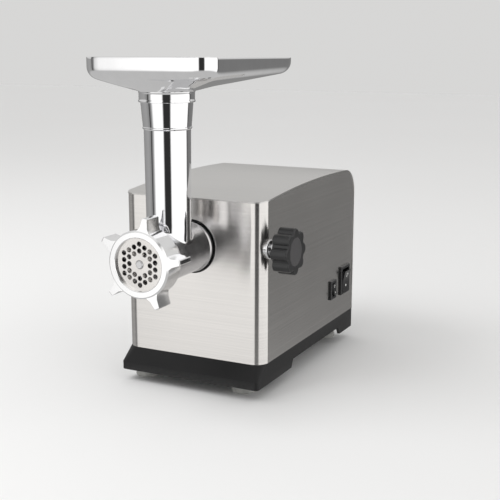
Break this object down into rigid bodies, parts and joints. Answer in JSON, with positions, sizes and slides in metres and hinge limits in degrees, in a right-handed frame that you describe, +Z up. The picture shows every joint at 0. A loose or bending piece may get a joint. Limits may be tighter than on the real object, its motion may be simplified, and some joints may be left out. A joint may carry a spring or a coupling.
{
  "type": "electric meat grinder",
  "caption": "Electric meat grinder: brushed steel motor case on a black base, polished grinding head with feed tube and food tray, side clamp knob, rocker switches.",
  "frame": {"origin": "bottom centre of the whole object's box, on the surface that the feet stand on", "axes": "+Z up, -Y towards the grinding head, +X towards the clamp knob and switches"},
  "size_m": [0.185, 0.347, 0.3285],
  "materials": {
    "steel_wrap": "vertical brushed stainless, satin",
    "cover_steel": "brushed stainless, satin",
    "black_plastic": "fine grain",
    "foot_rubber": "matte",
    "zinc_screw": "zinc plated",
    "switch_plastic": "satin gloss",
    "polished_head": "mirror polished",
    "polished_tray": "mirror polished",
    "nut_metal": "polished",
    "plate_steel": "fine ground",
    "knife_steel": "ground edges",
    "bronze": "oiled, satin",
    "nylon": "natural nylon",
    "knob_plastic": "moulded, low gloss",
    "screw_steel": "plated",
    "gear_steel": "cut steel, oiled",
    "diecast": "as cast",
    "lamination": "laminated electrical steel",
    "copper_wire": "enamelled copper",
    "carbon": "carbon",
    "fan_plastic": "moulded"
  },
  "bodies": {
    "housing": {"steel_wrap": "steel_wrap", "top_cover": "cover_steel", "base": "black_plastic", "foot_front_left": "foot_rubber", "foot_front_right": "foot_rubber", "foot_rear_left": "foot_rubber", "foot_rear_right": "foot_rubber", "foot_screws": "zinc_screw", "socket_trim": "black_plastic", "cord_gland": "black_plastic", "main_switch_case": "switch_plastic", "main_switch_pin": "zinc_screw", "small_switch_case": "switch_plastic", "small_switch_pin": "zinc_screw", "clamp_bush": "screw_steel", "gearcase_front": "diecast", "gearcase_cover": "diecast", "gearcase_screws": "zinc_screw", "output_bushes": "bronze", "idler_bushes": "bronze", "motor_bearings": "gear_steel", "stator_core": "lamination", "field_coils": "copper_wire", "motor_bracket": "diecast", "motor_bolts": "zinc_screw", "chassis_screws": "zinc_screw", "brush_holders": "bronze", "carbon_brushes": "carbon"},
    "head": {"grinder_body": "polished_head", "barrel_bush": "bronze", "plate_key": "knife_steel"},
    "auger": {"auger": "polished_head", "knife": "knife_steel", "thrust_washer": "nylon"},
    "plate": {"hole_plate": "plate_steel"},
    "nut": {"ring_nut": "nut_metal"},
    "tray": {"tray": "polished_tray"},
    "output": {"output_gear": "gear_steel"},
    "second": {"second_pinion": "gear_steel", "second_gear": "gear_steel"},
    "first": {"first_pinion": "gear_steel", "first_gear": "nylon"},
    "rotor": {"motor_shaft": "gear_steel", "armature_core": "lamination", "armature_windings": "copper_wire", "commutator": "copper_wire", "cooling_fan": "fan_plastic"},
    "clamp_pad": {"clamp_pad": "bronze"},
    "clamp_knob": {"clamp_screw": "screw_steel", "clamp_knob": "knob_plastic", "knob_cap": "knob_plastic"},
    "main_rocker": {"main_rocker": "switch_plastic"},
    "small_rocker": {"small_rocker": "switch_plastic"}
  },
  "joints": [
    {"name": "motor_spin", "type": "hinge", "parent": "housing", "child": "rotor", "pos_m": [-0.02803, 0.0435, 0.08631], "axis": [0, 1, 0], "continuous": true},
    {"name": "first_gear_spin", "type": "hinge", "parent": "housing", "child": "first", "pos_m": [0.00595, 0.0435, 0.09227], "axis": [0, 1, 0], "continuous": true},
    {"name": "second_gear_spin", "type": "hinge", "parent": "housing", "child": "second", "pos_m": [-0.03205, 0.0435, 0.10476], "axis": [0, 1, 0], "continuous": true},
    {"name": "output_gear_spin", "type": "hinge", "parent": "housing", "child": "output", "pos_m": [-0.01405, 0.0435, 0.146], "axis": [0, 1, 0], "continuous": true},
    {"name": "head_release", "type": "slide", "parent": "housing", "child": "head", "axis": [0, -1, 0], "range_m": [0, 0.06]},
    {"name": "auger_spin", "type": "hinge", "parent": "head", "child": "auger", "pos_m": [-0.01405, -0.1185, 0.146], "axis": [0, 1, 0], "continuous": true},
    {"name": "plate_travel", "type": "slide", "parent": "head", "child": "plate", "axis": [0, -1, 0], "range_m": [0, 0.02]},
    {"name": "nut_turn", "type": "hinge", "parent": "plate", "child": "nut", "pos_m": [-0.01405, -0.1635, 0.146], "axis": [0, -1, 0], "range_deg": [0, 2400]},
    {"name": "tray_lift", "type": "slide", "parent": "head", "child": "tray", "axis": [0, 0, 1], "range_m": [0, 0.03]},
    {"name": "clamp_pad_travel", "type": "slide", "parent": "housing", "child": "clamp_pad", "axis": [1, 0, 0], "range_m": [0, 0.0045]},
    {"name": "clamp_knob_turn", "type": "hinge", "parent": "clamp_pad", "child": "clamp_knob", "pos_m": [0.06395, -0.0641, 0.1476], "axis": [1, 0, 0], "range_deg": [0, 1080]},
    {"name": "main_rocker_tilt", "type": "hinge", "parent": "housing", "child": "main_rocker", "pos_m": [0.06095, 0.137, 0.075], "axis": [0, 1, 0], "range_deg": [-14, 0]},
    {"name": "small_rocker_tilt", "type": "hinge", "parent": "housing", "child": "small_rocker", "pos_m": [0.06095, 0.1015, 0.0704], "axis": [0, 1, 0], "range_deg": [0, 14], "stiffness_Nm_per_rad": 0.05}
  ],
  "couplings": [
    {"joint": "first_gear_spin", "follows": "motor_spin", "ratio": -0.15},
    {"joint": "second_gear_spin", "follows": "motor_spin", "ratio": 0.034615},
    {"joint": "output_gear_spin", "follows": "motor_spin", "ratio": -0.0086538},
    {"joint": "auger_spin", "follows": "motor_spin", "ratio": -0.0086538},
    {"joint": "plate_travel", "follows": "nut_turn", "m_per_rad": 0.00047746},
    {"joint": "clamp_pad_travel", "follows": "clamp_knob_turn", "m_per_rad": 0.00023873}
  ]
}
